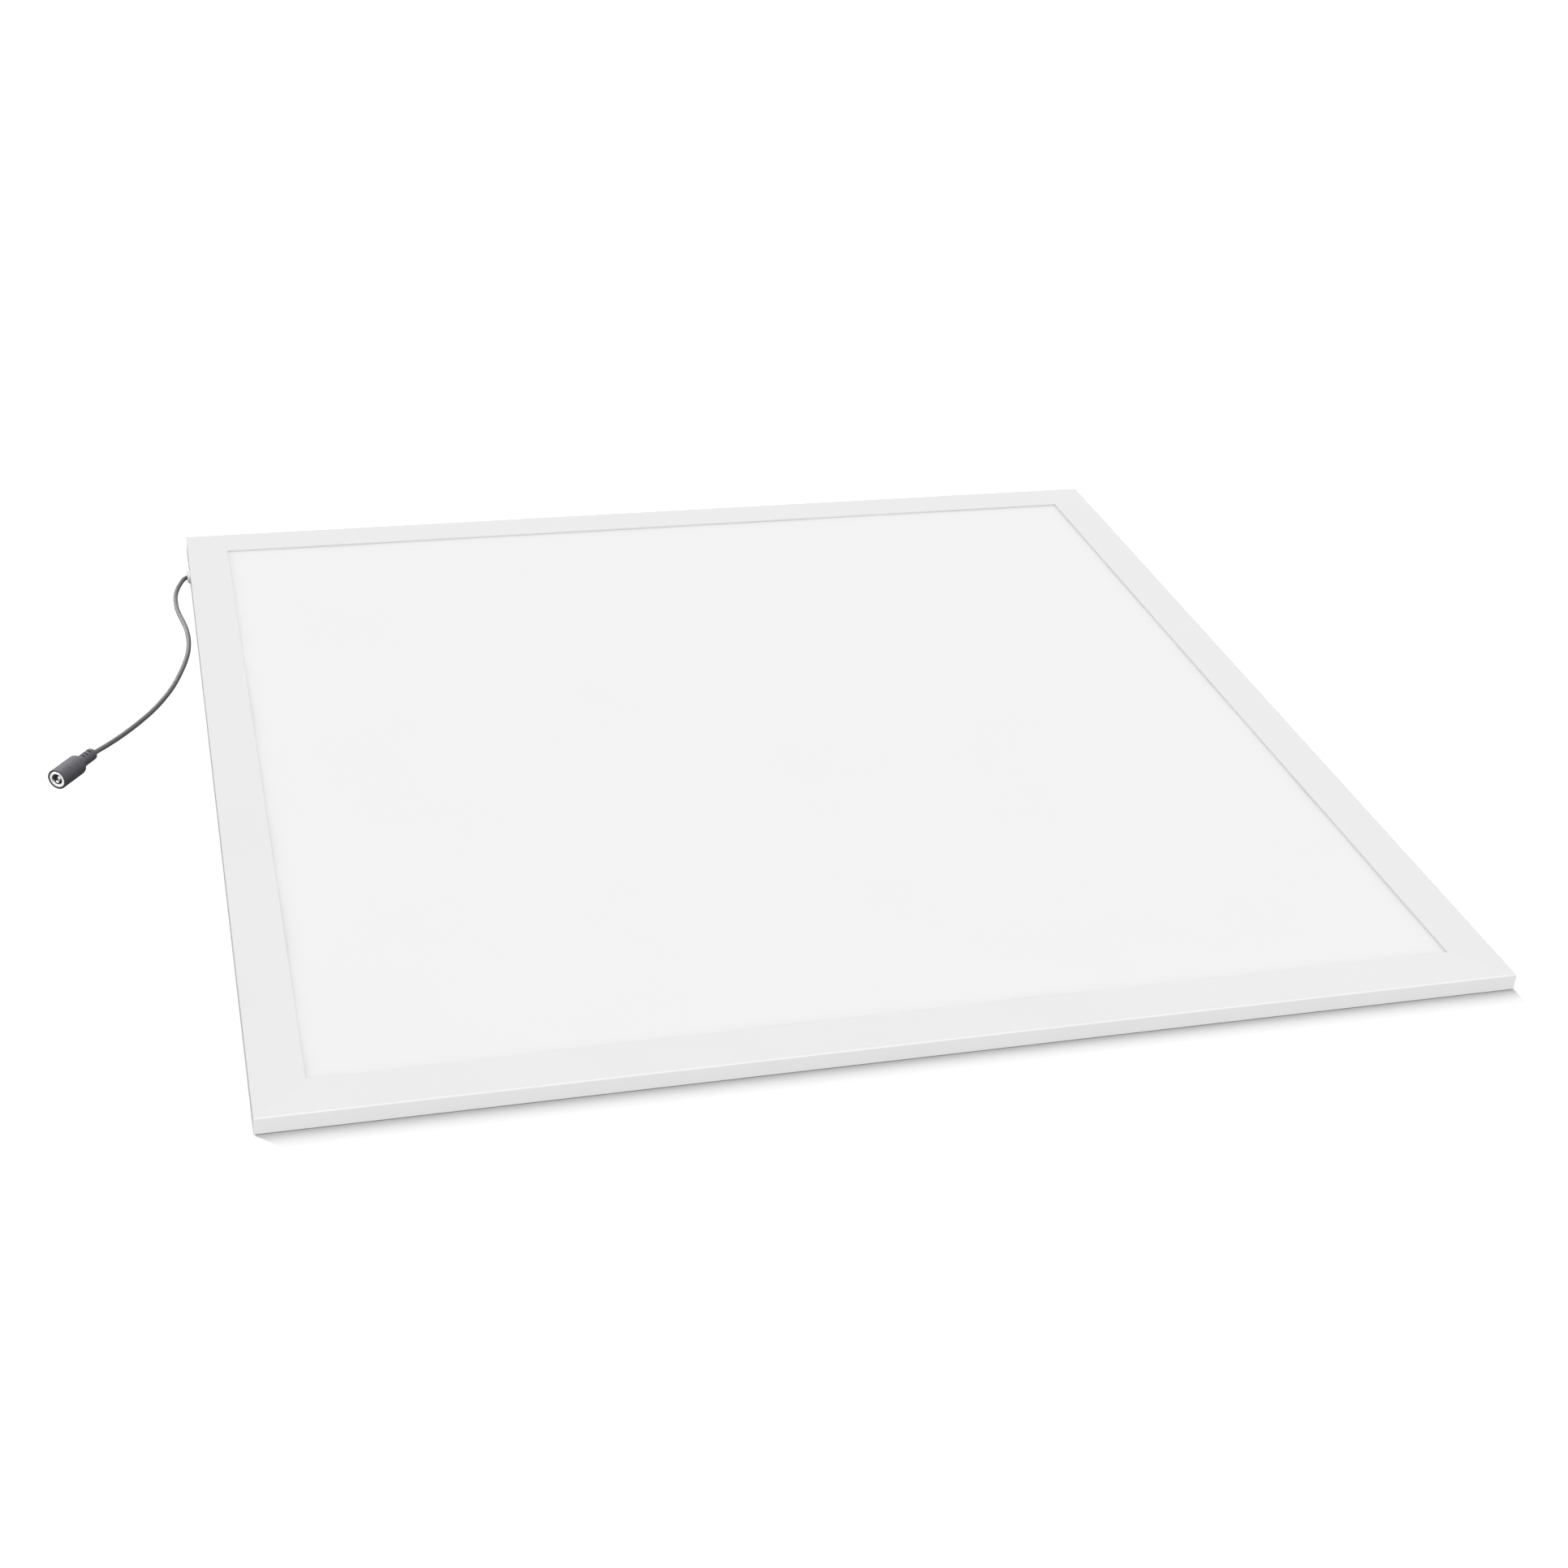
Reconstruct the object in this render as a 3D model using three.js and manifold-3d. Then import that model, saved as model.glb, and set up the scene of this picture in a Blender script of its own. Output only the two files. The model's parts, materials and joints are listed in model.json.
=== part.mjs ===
// Flat square LED light panel: an edge-lit light guide in a mitred aluminium frame, fed by a
// low-voltage lead that ends in an in-line barrel socket.
//
// Millimetres. The origin is the centre of the back plate's outer face, which is also the plane
// the panel rests on. +Z points to the luminous face, +X right and +Y to the rear.
//
// Sections across the frame are drawn in (u, z), where u is the distance inwards from the
// frame's outer face.

import * as THREE from 'three';
import { mergeVertices } from 'three/addons/utils/BufferGeometryUtils.js';
import Module from 'manifold-3d';

const wasm = await Module();
wasm.setup();

// ---------------------------------------------------------------- driving dimensions

const PANEL_SIDE = 595;
const HALF = PANEL_SIDE / 2;

const FRAME_REAR_Z = 0.2;
const FRAME_HEIGHT = 8.4;
const FRAME_FRONT_Z = FRAME_REAR_Z + FRAME_HEIGHT;
const BEZEL_WIDTH = 24;
const BEZEL_UNDER_Z = FRAME_FRONT_Z - 1;
const WALL = 1.2;
const SHELF_REAR_Z = 1.8;
const SHELF_FRONT_Z = SHELF_REAR_Z + WALL;
const WEB_INNER_U = 10.2;
const WEB_OUTER_U = WEB_INNER_U - WALL;
const MITRE_GAP = 0.01;

const PLATE_THICKNESS = 0.5;
const FLANGE_Z = 1.25;
const FLANGE_HALF = HALF - 1.5;
const PAD_HALF = 279;
const PAD_CORNER = 12;
const PAD_EDGE = 0.9;

const SCREW_U = 5.1;
const SCREW_STATIONS = [-225, -75, 75, 225];
const SCREW_HEAD_RADIUS = 2.7;
const SCREW_HEAD_HEIGHT = 1;
const SCREW_SHANK_RADIUS = 1.3;
const SCREW_LENGTH = 4.6;
const SCREW_SIDES = 10;

const STACK_HALF = HALF - 12.6;
const FOAM_INSET = 3;

const STRIP_HALF_LENGTH = 276;
const STRIP_REAR_Z = 2.3;
const STRIP_HEIGHT = 5;
const TAPE_U = WEB_INNER_U + 0.05;
const TAPE_THICKNESS = 0.15;
const BOARD_U = TAPE_U + TAPE_THICKNESS + 0.05;
const BOARD_THICKNESS = 1;
const LED_COUNT = 60;
const LED_PITCH = 9.2;
const LED_SIZE = { length: 4, depth: 0.7, height: 1.4 };
const LED_CENTRE_Z = 4.85;

const OUTLET_Y = 245.3;
const OUTLET_Z = 5.3;
const NOTCH_WIDTH = 6.4;
// The lead slants through the outlet, turned this far from square to the frame.
const LEAD_ENTRY_TURN = THREE.MathUtils.degToRad(22);
const leadEntryY = (x) => OUTLET_Y + (x + HALF) * Math.tan(LEAD_ENTRY_TURN);
const WIRE_SLOT = { start: 256, end: 266, rear: 3.7, front: 7.3 };
const CORRIDOR_U = 11.4;

const LEAD_RADIUS = 1.38;
const LEAD_REST_Z = LEAD_RADIUS + 0.12;
const LEAD_SIDES = 12;
const LEAD_JOINT_GAP = 1.2;
const CORE_RADIUS = 0.55;
const CORE_SIDES = 6;
const CORE_SPACING = 1.3;

const SOCKET_MOUTH = new THREE.Vector3(-376, 8, 5.6);
const SOCKET_TURN = THREE.MathUtils.degToRad(36);
const SOCKET_SIDES = 22;
const SHELL_RADIUS = 5.5;
const SHELL_LENGTH = 19.2;
const RELIEF_RADIUS = 3.35;
const RELIEF_LENGTH = 12.1;
const CAVITY_RADIUS = 4.65;
const CAVITY_DEPTH = 12.3;
const LEAD_BORE_RADIUS = 1.75;
const CONTACT_RADIUS = 4.45;

// ---------------------------------------------------------------- materials

const finish = (color, roughness, metalness = 0) => () =>
  new THREE.MeshStandardMaterial({ color, roughness, metalness });

const whitePowderCoat = finish(0xededee, 0.45);
const whitePolycarbonate = finish(0xf3f3f4, 0.4);
const opalAcrylic = finish(0xf5f5f5, 0.35);
const clearAcrylic = finish(0xdfe8ea, 0.08);
const reflectiveFilm = finish(0xfafafa, 0.5);
const greyFoam = finish(0x8d9094, 0.95);
const zincSteel = finish(0xc4c7ca, 0.35, 0.9);
const platedSteel = finish(0xdadcdf, 0.25, 1);
const castAluminium = finish(0xb9bcc0, 0.45, 0.9);
const whiteCircuitBoard = finish(0xf0f0ea, 0.5);
const thermalTape = finish(0xd5d8dc, 0.8);
const darkGreyPvc = finish(0x5c5c61, 0.5);
const redPvc = finish(0xb3261e, 0.45);
const blackPvc = finish(0x1c1c1e, 0.45);
const blackNylon = finish(0x141416, 0.55);
const whiteNylon = finish(0xe9e9e6, 0.5);

// ---------------------------------------------------------------- solid helpers

// A closed, merged copy of a geometry as a solid that can be joined and cut.
function toSolid(geometry) {
  const bare = geometry.clone();
  bare.deleteAttribute('normal');
  bare.deleteAttribute('uv');
  const merged = mergeVertices(bare, 1e-4);
  const corners = merged.index.array;
  const kept = [];
  for (let i = 0; i < corners.length; i += 3) {
    const [a, b, c] = corners.slice(i, i + 3);
    if (a !== b && b !== c && c !== a) kept.push(a, b, c);
  }
  const vertProperties = Float32Array.from(merged.attributes.position.array);
  const triVerts = Uint32Array.from(kept);
  return new wasm.Manifold(new wasm.Mesh({ numProp: 3, vertProperties, triVerts }));
}

function toGeometry(body) {
  const mesh = body.getMesh();
  const geometry = new THREE.BufferGeometry();
  geometry.setAttribute('position', new THREE.BufferAttribute(mesh.vertProperties, 3));
  geometry.setIndex(new THREE.BufferAttribute(mesh.triVerts, 1));
  geometry.computeVertexNormals();
  return geometry;
}

function cut(geometry, tools) {
  const body = tools.reduce((rest, tool) => rest.subtract(toSolid(tool)), toSolid(geometry));
  return toGeometry(body);
}

function join(geometries) {
  const [first, ...others] = geometries.map(toSolid);
  return toGeometry(others.reduce((whole, piece) => whole.add(piece), first));
}

function block([x0, x1], [y0, y1], [z0, z1]) {
  const geometry = new THREE.BoxGeometry(x1 - x0, y1 - y0, z1 - z0);
  return geometry.translate((x0 + x1) / 2, (y0 + y1) / 2, (z0 + z1) / 2);
}

function squareSheet(half, z0, z1) {
  return block([-half, half], [-half, half], [z0, z1]);
}

// A regular polygon standing for a circle, with its corners on the radius.
function roundSection(radius, sides) {
  const corner = (_, i) => {
    const angle = (2 * Math.PI * i) / sides;
    return new THREE.Vector2(radius * Math.cos(angle), radius * Math.sin(angle));
  };
  return new THREE.Shape(Array.from({ length: sides }, corner));
}

function roundedRectangle(width, height, radius) {
  const x = width / 2;
  const y = height / 2;
  const shape = new THREE.Shape();
  shape.absarc(x - radius, -y + radius, radius, -Math.PI / 2, 0);
  shape.absarc(x - radius, y - radius, radius, 0, Math.PI / 2);
  shape.absarc(-x + radius, y - radius, radius, Math.PI / 2, Math.PI);
  shape.absarc(-x + radius, -y + radius, radius, Math.PI, 1.5 * Math.PI);
  return shape;
}

function prism(shape, z0, z1, curveSegments = 6) {
  const options = { depth: z1 - z0, bevelEnabled: false, curveSegments };
  return new THREE.ExtrudeGeometry(shape, options).translate(0, 0, z0);
}

// A rod of the given section swept along a curve.
function sweep(section, extrudePath, steps) {
  return new THREE.ExtrudeGeometry(section, { extrudePath, steps, bevelEnabled: false });
}

// A solid of revolution about its own Y axis, from [radius, y] pairs.
function revolve(profile, sides) {
  return new THREE.LatheGeometry(profile.map(([r, y]) => new THREE.Vector2(r, y)), sides);
}

// Points on a quarter circle, as [radius, y] pairs.
function quarter(centre, radius, startDegrees, endDegrees, steps = 4) {
  return Array.from({ length: steps + 1 }, (_, i) => {
    const angle = THREE.MathUtils.degToRad(startDegrees + ((endDegrees - startDegrees) * i) / steps);
    return [centre[0] + radius * Math.cos(angle), centre[1] + radius * Math.sin(angle)];
  });
}

// Every piece along one side is drawn at the front and turned about Z to its own side.
const SIDE_TURN = { front: 0, right: Math.PI / 2, rear: Math.PI, left: -Math.PI / 2 };

const model = new THREE.Group();

function addPiece(name, geometry, material, parent = model) {
  const mesh = new THREE.Mesh(geometry, material());
  mesh.name = name;
  parent.add(mesh);
  return mesh;
}

function addSidePiece(stem, side, geometry, material) {
  addPiece(`${stem}_${side}`, geometry, material).rotation.z = SIDE_TURN[side];
}

// ---------------------------------------------------------------- frame

// Outer wall, bezel, web and shelf around the hollow that takes the corner keys.
function frameSection() {
  const rearRound = 0.3;
  const frontRound = 0.5;
  const lipRound = 0.25;
  const section = new THREE.Shape();
  section.moveTo(WALL, SHELF_REAR_Z);
  section.lineTo(WALL, FRAME_REAR_Z);
  section.absarc(rearRound, FRAME_REAR_Z + rearRound, rearRound, -Math.PI / 2, -Math.PI, true);
  section.absarc(frontRound, FRAME_FRONT_Z - frontRound, frontRound, Math.PI, Math.PI / 2, true);
  section.absarc(BEZEL_WIDTH - lipRound, FRAME_FRONT_Z - lipRound, lipRound, Math.PI / 2, 0, true);
  section.lineTo(BEZEL_WIDTH, BEZEL_UNDER_Z);
  section.lineTo(WEB_INNER_U, BEZEL_UNDER_Z);
  section.lineTo(WEB_INNER_U, SHELF_REAR_Z);
  const chamber = new THREE.Path();
  chamber.moveTo(WALL, SHELF_FRONT_Z);
  chamber.lineTo(WEB_OUTER_U, SHELF_FRONT_Z);
  chamber.lineTo(WEB_OUTER_U, BEZEL_UNDER_Z);
  chamber.lineTo(WALL, BEZEL_UNDER_Z);
  section.holes.push(chamber);
  return section;
}

// One bar along the front: the section runs along X, and each end is mitred at 45 degrees.
function mitredBar() {
  const geometry = prism(frameSection(), -1, 1, 3);
  const position = geometry.attributes.position;
  for (let i = 0; i < position.count; i += 1) {
    const u = position.getX(i);
    const z = position.getY(i);
    const end = Math.sign(position.getZ(i));
    position.setXYZ(i, end * (HALF - u - MITRE_GAP), -HALF + u, z);
  }
  return geometry;
}

function screwHoles(radius, z0, z1) {
  return SCREW_STATIONS.map((x) =>
    prism(roundSection(radius, SCREW_SIDES), z0, z1).translate(x, -HALF + SCREW_U, 0));
}

function addFrame() {
  const shelfHoles = screwHoles(SCREW_SHANK_RADIUS + 0.3, SHELF_REAR_Z - 1, SHELF_FRONT_Z + 0.5);
  const bar = cut(mitredBar(), shelfHoles);
  for (const side of ['front', 'right', 'rear']) {
    addSidePiece('frame', side, bar, whitePowderCoat);
  }
  // The left bar also lets the lead through its wall and the wires through its web. Drawn at
  // the front and turned to the left, a point at +Y lies at -X.
  const notch = block(
    [-OUTLET_Y - NOTCH_WIDTH / 2, -OUTLET_Y + NOTCH_WIDTH / 2],
    [-HALF - 1, -HALF + WALL + 0.1],
    [FRAME_REAR_Z - 1, BEZEL_UNDER_Z],
  );
  const wireSlot = block(
    [-WIRE_SLOT.end, -WIRE_SLOT.start],
    [-HALF + WEB_OUTER_U - 0.2, -HALF + WEB_INNER_U + 0.2],
    [WIRE_SLOT.rear, WIRE_SLOT.front],
  );
  addSidePiece('frame', 'left', cut(bar, [notch, wireSlot]), whitePowderCoat);
}

function cornerKey() {
  const outer = HALF - WALL - 0.3;
  const inner = HALF - WEB_OUTER_U + 0.3;
  const legEnd = HALF - 34;
  const outline = [
    [-outer, -outer],
    [-legEnd, -outer],
    [-legEnd, -inner],
    [-inner, -inner],
    [-inner, -legEnd],
    [-outer, -legEnd],
  ];
  const shape = new THREE.Shape(outline.map(([x, y]) => new THREE.Vector2(x, y)));
  return prism(shape, SHELF_FRONT_Z + 0.3, BEZEL_UNDER_Z - 0.3);
}

function addCornerKeys() {
  const corners = { front_left: 'front', front_right: 'right', rear_right: 'rear', rear_left: 'left' };
  for (const [corner, side] of Object.entries(corners)) {
    addPiece(`corner_key_${corner}`, cornerKey(), castAluminium).rotation.z = SIDE_TURN[side];
  }
}

// ---------------------------------------------------------------- back plate and screws

// A square block with a rounded lower edge, from z0 upwards past the back plate's flange.
function dish(half, corner, edge, z0) {
  const outline = roundedRectangle(2 * half, 2 * half, corner);
  const geometry = new THREE.ExtrudeGeometry(outline, {
    depth: 2,
    bevelThickness: edge,
    bevelSize: edge,
    bevelOffset: -edge,
    bevelSegments: 2,
    curveSegments: 4,
  });
  return geometry.translate(0, 0, z0 + edge);
}

// Sheet steel with its middle pressed out, so that the panel rests on the middle.
function backPlate() {
  const flangeTop = FLANGE_Z + PLATE_THICKNESS;
  const outside = cut(dish(PAD_HALF, PAD_CORNER, PAD_EDGE, 0), [squareSheet(HALF, flangeTop, 20)]);
  const flange = squareSheet(FLANGE_HALF, FLANGE_Z, flangeTop);
  const inset = PAD_HALF - PLATE_THICKNESS;
  const inside = dish(inset, PAD_CORNER - PLATE_THICKNESS, PAD_EDGE / 2, PLATE_THICKNESS);
  const holes = Object.values(SIDE_TURN).flatMap((turn) =>
    screwHoles(SCREW_SHANK_RADIUS + 0.4, 0, 3).map((hole) => hole.rotateZ(turn)));
  return cut(join([outside, flange]), [inside, ...holes]);
}

// Pan head with a cross recess, a plain shank and a pointed end, from the head inwards.
function screw() {
  const profile = [
    [0, 0],
    [1.7, 0],
    [SCREW_HEAD_RADIUS, 0.5],
    [SCREW_HEAD_RADIUS, SCREW_HEAD_HEIGHT],
    [SCREW_SHANK_RADIUS, SCREW_HEAD_HEIGHT],
    [SCREW_SHANK_RADIUS, SCREW_LENGTH - 1],
    [0, SCREW_LENGTH],
  ];
  const recessHalf = 1.5;
  const recessWidth = 0.4;
  const recess = [-1, 0.55];
  return cut(revolve(profile, SCREW_SIDES), [
    block([-recessHalf, recessHalf], recess, [-recessWidth, recessWidth]),
    block([-recessWidth, recessWidth], recess, [-recessHalf, recessHalf]),
  ]);
}

function addScrews() {
  const headZ = FLANGE_Z - SCREW_HEAD_HEIGHT - 0.02;
  const geometry = screw();
  for (const [side, turn] of Object.entries(SIDE_TURN)) {
    SCREW_STATIONS.forEach((station, i) => {
      const place = new THREE.Group();
      place.rotation.z = turn;
      model.add(place);
      const mesh = addPiece(`screw_${side}_${i + 1}`, geometry, zincSteel, place);
      mesh.position.set(station, -HALF + SCREW_U, headZ);
      mesh.rotation.x = Math.PI / 2;
    });
  }
}

// ---------------------------------------------------------------- optical stack and light source

function addOpticalStack() {
  const foamSide = 2 * (PAD_HALF - FOAM_INSET);
  const foam = prism(roundedRectangle(foamSide, foamSide, PAD_CORNER - FOAM_INSET), 0.55, 2.95);
  addPiece('foam_pad', foam, greyFoam);
  addPiece('reflector_sheet', squareSheet(STACK_HALF, 3, 3.3), reflectiveFilm);
  addPiece('light_guide_plate', squareSheet(STACK_HALF, 3.35, 6.35), clearAcrylic);
  addPiece('diffuser_plate', squareSheet(STACK_HALF, 6.4, BEZEL_UNDER_Z - 0.05), opalAcrylic);
}

function ledStrip() {
  const boardY = -HALF + BOARD_U;
  const faceY = boardY + BOARD_THICKNESS;
  const board = block(
    [-STRIP_HALF_LENGTH, STRIP_HALF_LENGTH],
    [boardY, faceY],
    [STRIP_REAR_Z, STRIP_REAR_Z + STRIP_HEIGHT],
  );
  const leds = Array.from({ length: LED_COUNT }, (_, i) => {
    const x = (i - (LED_COUNT - 1) / 2) * LED_PITCH;
    return block(
      [x - LED_SIZE.length / 2, x + LED_SIZE.length / 2],
      [faceY - 0.1, faceY + LED_SIZE.depth],
      [LED_CENTRE_Z - LED_SIZE.height / 2, LED_CENTRE_Z + LED_SIZE.height / 2],
    );
  });
  return join([board, ...leds]);
}

function addLightSource() {
  const strip = ledStrip();
  const tape = block(
    [-STRIP_HALF_LENGTH + 1, STRIP_HALF_LENGTH - 1],
    [-HALF + TAPE_U, -HALF + TAPE_U + TAPE_THICKNESS],
    [STRIP_REAR_Z + 0.2, STRIP_REAR_Z + STRIP_HEIGHT - 0.2],
  );
  for (const side of ['front', 'rear']) {
    addSidePiece('led_strip', side, strip, whiteCircuitBoard);
    addSidePiece('thermal_tape', side, tape, thermalTape);
  }
}

// ---------------------------------------------------------------- wires inside the frame

// Steps are shared equally between the points, so bends stay smooth and long runs stay cheap.
class WireCurve extends THREE.CatmullRomCurve3 {
  getUtoTmapping(u) {
    return u;
  }
}

function wire(points) {
  const curve = new WireCurve(points.map((p) => new THREE.Vector3(...p)));
  return sweep(roundSection(CORE_RADIUS, CORE_SIDES), curve, 2 * (points.length - 1));
}

// From the run along the left side round a corner to the end of the strip at the front or rear.
function cornerRun(side, z) {
  const run = HALF - CORRIDOR_U;
  const bend = 1.7;
  return [
    [-run, side * (run - 8), z],
    [-run, side * (run - bend), z],
    [-run + 0.3 * bend, side * (run - 0.3 * bend), z],
    [-run + bend, side * run, z],
    [-STRIP_HALF_LENGTH - 0.5, side * run, z],
  ];
}

function supplyCore(sourceZ, runZ) {
  const at = (u, y, z) => [-HALF + u, y, z];
  return wire([
    at(7.6, leadEntryY(-HALF + 7.6), sourceZ),
    at(7.9, WIRE_SLOT.start - 5, sourceZ),
    at(8.1, WIRE_SLOT.start - 1, sourceZ),
    at(9.6, WIRE_SLOT.start + 4, (sourceZ + runZ) / 2),
    at(CORRIDOR_U, WIRE_SLOT.start + 9, runZ),
    ...cornerRun(1, runZ),
  ]);
}

function linkWire(z) {
  return wire([...cornerRun(1, z).reverse(), ...cornerRun(-1, z)]);
}

function addWires() {
  const lowest = STRIP_REAR_Z + 0.3;
  const [redZ, blackZ] = [OUTLET_Z + CORE_SPACING / 2, OUTLET_Z - CORE_SPACING / 2];
  addPiece('supply_core_red', supplyCore(redZ, lowest + 3 * CORE_SPACING), redPvc);
  addPiece('supply_core_black', supplyCore(blackZ, lowest + 2 * CORE_SPACING), blackPvc);
  addPiece('link_wire_red', linkWire(lowest + CORE_SPACING), redPvc);
  addPiece('link_wire_black', linkWire(lowest), blackPvc);
}

// ---------------------------------------------------------------- cable outlet

// Drawn flat with its thickness along local Z, then stood on the left face pointing outwards.
function onLeftFace(geometry) {
  const outwards = new THREE.Matrix4().makeBasis(
    new THREE.Vector3(0, -1, 0),
    new THREE.Vector3(0, 0, 1),
    new THREE.Vector3(-1, 0, 0),
  );
  outwards.setPosition(-HALF, OUTLET_Y, OUTLET_Z);
  return geometry.applyMatrix4(outwards);
}

function cableOutlet() {
  const proud = 1.8;
  const taper = 1;
  const boot = new THREE.ExtrudeGeometry(roundedRectangle(11, 6.2, 2.6), {
    depth: proud - taper - 0.05,
    bevelThickness: taper,
    bevelSize: taper,
    bevelOffset: -taper,
    bevelSegments: 2,
    curveSegments: 3,
  }).translate(0, 0, 0.05);
  const behindFace = block([-20, 20], [-20, 20], [-5, 0.05]);
  const neck = block([-NOTCH_WIDTH / 2 + 0.1, NOTCH_WIDTH / 2 - 0.1], [-2.1, 2.1], [-1.6, 0.3]);
  const barb = block([-4.6, 4.6], [-2.05, 2.05], [-2.8, -1.5]);
  const bore = alongLeadEntry(prism(roundSection(LEAD_RADIUS + 0.25, LEAD_SIDES), -10, 10));
  return onLeftFace(cut(join([cut(boot, [behindFace]), neck, barb]), [bore]));
}

// Turns a shape drawn along local Z onto the slanting line on which the lead passes the outlet.
function alongLeadEntry(geometry) {
  return geometry.rotateY(LEAD_ENTRY_TURN);
}

// Ratchet tie that stops the lead from being pulled out through the outlet.
function cableTie() {
  const bandInner = LEAD_RADIUS + 0.12;
  const bandOuter = bandInner + 0.5;
  const bandStart = -6.2;
  const bandEnd = -4.2;
  const band = prism(roundSection(bandOuter, 20), bandStart, bandEnd);
  const head = block([bandOuter - 0.3, bandOuter + 2.4], [-1.5, 1.5], [bandStart - 0.2, bandEnd + 0.2]);
  const bore = prism(roundSection(bandInner, LEAD_SIDES), -10, 10);
  return onLeftFace(alongLeadEntry(cut(join([band, head]), [bore])));
}

// ---------------------------------------------------------------- lead

// Point at a distance from the socket's mouth, on the socket's axis or a little under it.
function alongSocket(distance, drop = 0) {
  const inwards = new THREE.Vector3(Math.sin(SOCKET_TURN), Math.cos(SOCKET_TURN), 0);
  const point = SOCKET_MOUTH.clone().addScaledVector(inwards, distance);
  return [point.x, point.y, point.z - drop];
}

// Centre line of the lead from its end inside the frame to its end inside the socket. It drops
// from the outlet to the surface the panel rests on and rises again at the socket.
const LEAD_POINTS = [
  [-291, leadEntryY(-291), OUTLET_Z],
  [-295.5, leadEntryY(-295.5), OUTLET_Z],
  [-300, leadEntryY(-300), OUTLET_Z],
  [-302.3, 240.6, 5.2],
  [-304, 236.3, 4.9],
  [-305.9, 230.5, 4.3],
  [-307.2, 223.8, 3.6],
  [-307.5, 216.5, 2.8],
  [-307.1, 209, 2.1],
  [-306, 201, 1.6],
  [-304.4, 192, LEAD_REST_Z],
  [-303, 181.5, LEAD_REST_Z],
  [-302.4, 167, LEAD_REST_Z],
  [-303.4, 152.5, LEAD_REST_Z],
  [-306, 138, LEAD_REST_Z],
  [-309.5, 124, LEAD_REST_Z],
  [-313.8, 110, LEAD_REST_Z],
  [-319, 97, LEAD_REST_Z],
  [-325.4, 84, LEAD_REST_Z],
  [-333, 71.5, LEAD_REST_Z],
  [-341.4, 59.2, 1.65],
  [-349.7, 46.4, 3],
  alongSocket(SHELL_LENGTH + RELIEF_LENGTH, 0.3),
  alongSocket(SHELL_LENGTH + 1),
].map((p) => new THREE.Vector3(...p));

// The lead bends at these points of its centre line.
const LEAD_JOINTS = [4, 7, 11, 13, 15, 17, 19];
const SPAN_DIVISIONS = 20;

const leadCurve = new THREE.CatmullRomCurve3(LEAD_POINTS);
leadCurve.arcLengthDivisions = SPAN_DIVISIONS * (LEAD_POINTS.length - 1);

// Part of the lead's centre line, between two lengths measured from its start.
class LeadSpan extends THREE.Curve {
  constructor(start, end) {
    super();
    this.start = start;
    this.end = end;
  }

  getPoint(t, target = new THREE.Vector3()) {
    const length = THREE.MathUtils.lerp(this.start, this.end, t);
    return leadCurve.getPointAt(length / leadCurve.getLength(), target);
  }
}

function leadSection(start, end) {
  const stepLength = 4;
  const steps = Math.ceil((end - start) / stepLength);
  return sweep(roundSection(LEAD_RADIUS, LEAD_SIDES), new LeadSpan(start, end), steps);
}

function addLead() {
  const lengths = leadCurve.getLengths();
  const bends = LEAD_JOINTS.map((index) => lengths[index * SPAN_DIVISIONS]);
  const halfGap = LEAD_JOINT_GAP / 2;
  addPiece('lead_entry', leadSection(0, bends[0] - halfGap), darkGreyPvc);
  bends.forEach((bend, i) => {
    const isLast = i === bends.length - 1;
    const end = isLast ? leadCurve.getLength() : bends[i + 1] - halfGap;
    addPiece(`lead_section_${i + 1}`, leadSection(bend + halfGap, end), darkGreyPvc);
  });
}

// ---------------------------------------------------------------- socket

// Every socket piece is drawn about local Y, from the mouth at y = 0 towards the lead.

// Slots across the top and the bottom of the strain relief, which lies turned about its axis.
function reliefSlots() {
  const slotHalf = 0.45;
  const floor = LEAD_BORE_RADIUS + 0.3;
  const turn = THREE.MathUtils.degToRad(-12);
  return [3.1, 5.5, 8.5].flatMap((station) => {
    const y = SHELL_LENGTH + station;
    const top = block([-5, 5], [y - slotHalf, y + slotHalf], [floor, 5]);
    const bottom = block([-5, 5], [y - slotHalf, y + slotHalf], [-5, -floor]);
    return [top.rotateY(turn), bottom.rotateY(turn)];
  });
}

function socketShell() {
  const shoulder = 2.2;
  const reliefEnd = SHELL_LENGTH + RELIEF_LENGTH;
  const tip = 1.3;
  const profile = [
    [CAVITY_RADIUS, 0],
    [SHELL_RADIUS - 0.3, 0],
    [SHELL_RADIUS, 0.3],
    ...quarter([SHELL_RADIUS - shoulder, SHELL_LENGTH - shoulder], shoulder, 0, 90, 3),
    [RELIEF_RADIUS, SHELL_LENGTH],
    ...quarter([RELIEF_RADIUS - tip, reliefEnd - tip], tip, 0, 90, 2),
    [LEAD_BORE_RADIUS, reliefEnd],
    [LEAD_BORE_RADIUS, CAVITY_DEPTH],
    [CAVITY_RADIUS, CAVITY_DEPTH],
    [CAVITY_RADIUS, 0],
  ];
  return cut(revolve(profile, SOCKET_SIDES), reliefSlots());
}

// The direction, about the socket's axis, in which the spring contact lies.
const SPRING_ANGLE = THREE.MathUtils.degToRad(-115);

// Room behind the spring contact, so that a plug can push it outwards.
function springRoom() {
  return block([2.3, 3.9], [1, 9.45], [-1.3, 1.3]).rotateY(-SPRING_ANGLE);
}

function socketRing() {
  const bore = 2.85;
  const front = 0.15;
  const rear = 2.2;
  const chamfer = 0.35;
  const profile = [
    [bore, front + chamfer],
    [bore + chamfer, front],
    [CONTACT_RADIUS - 0.1, front],
    [CONTACT_RADIUS, front + 0.1],
    [CONTACT_RADIUS, rear],
    [bore, rear],
    [bore, front + chamfer],
  ];
  return cut(revolve(profile, SOCKET_SIDES), [springRoom()]);
}

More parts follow.
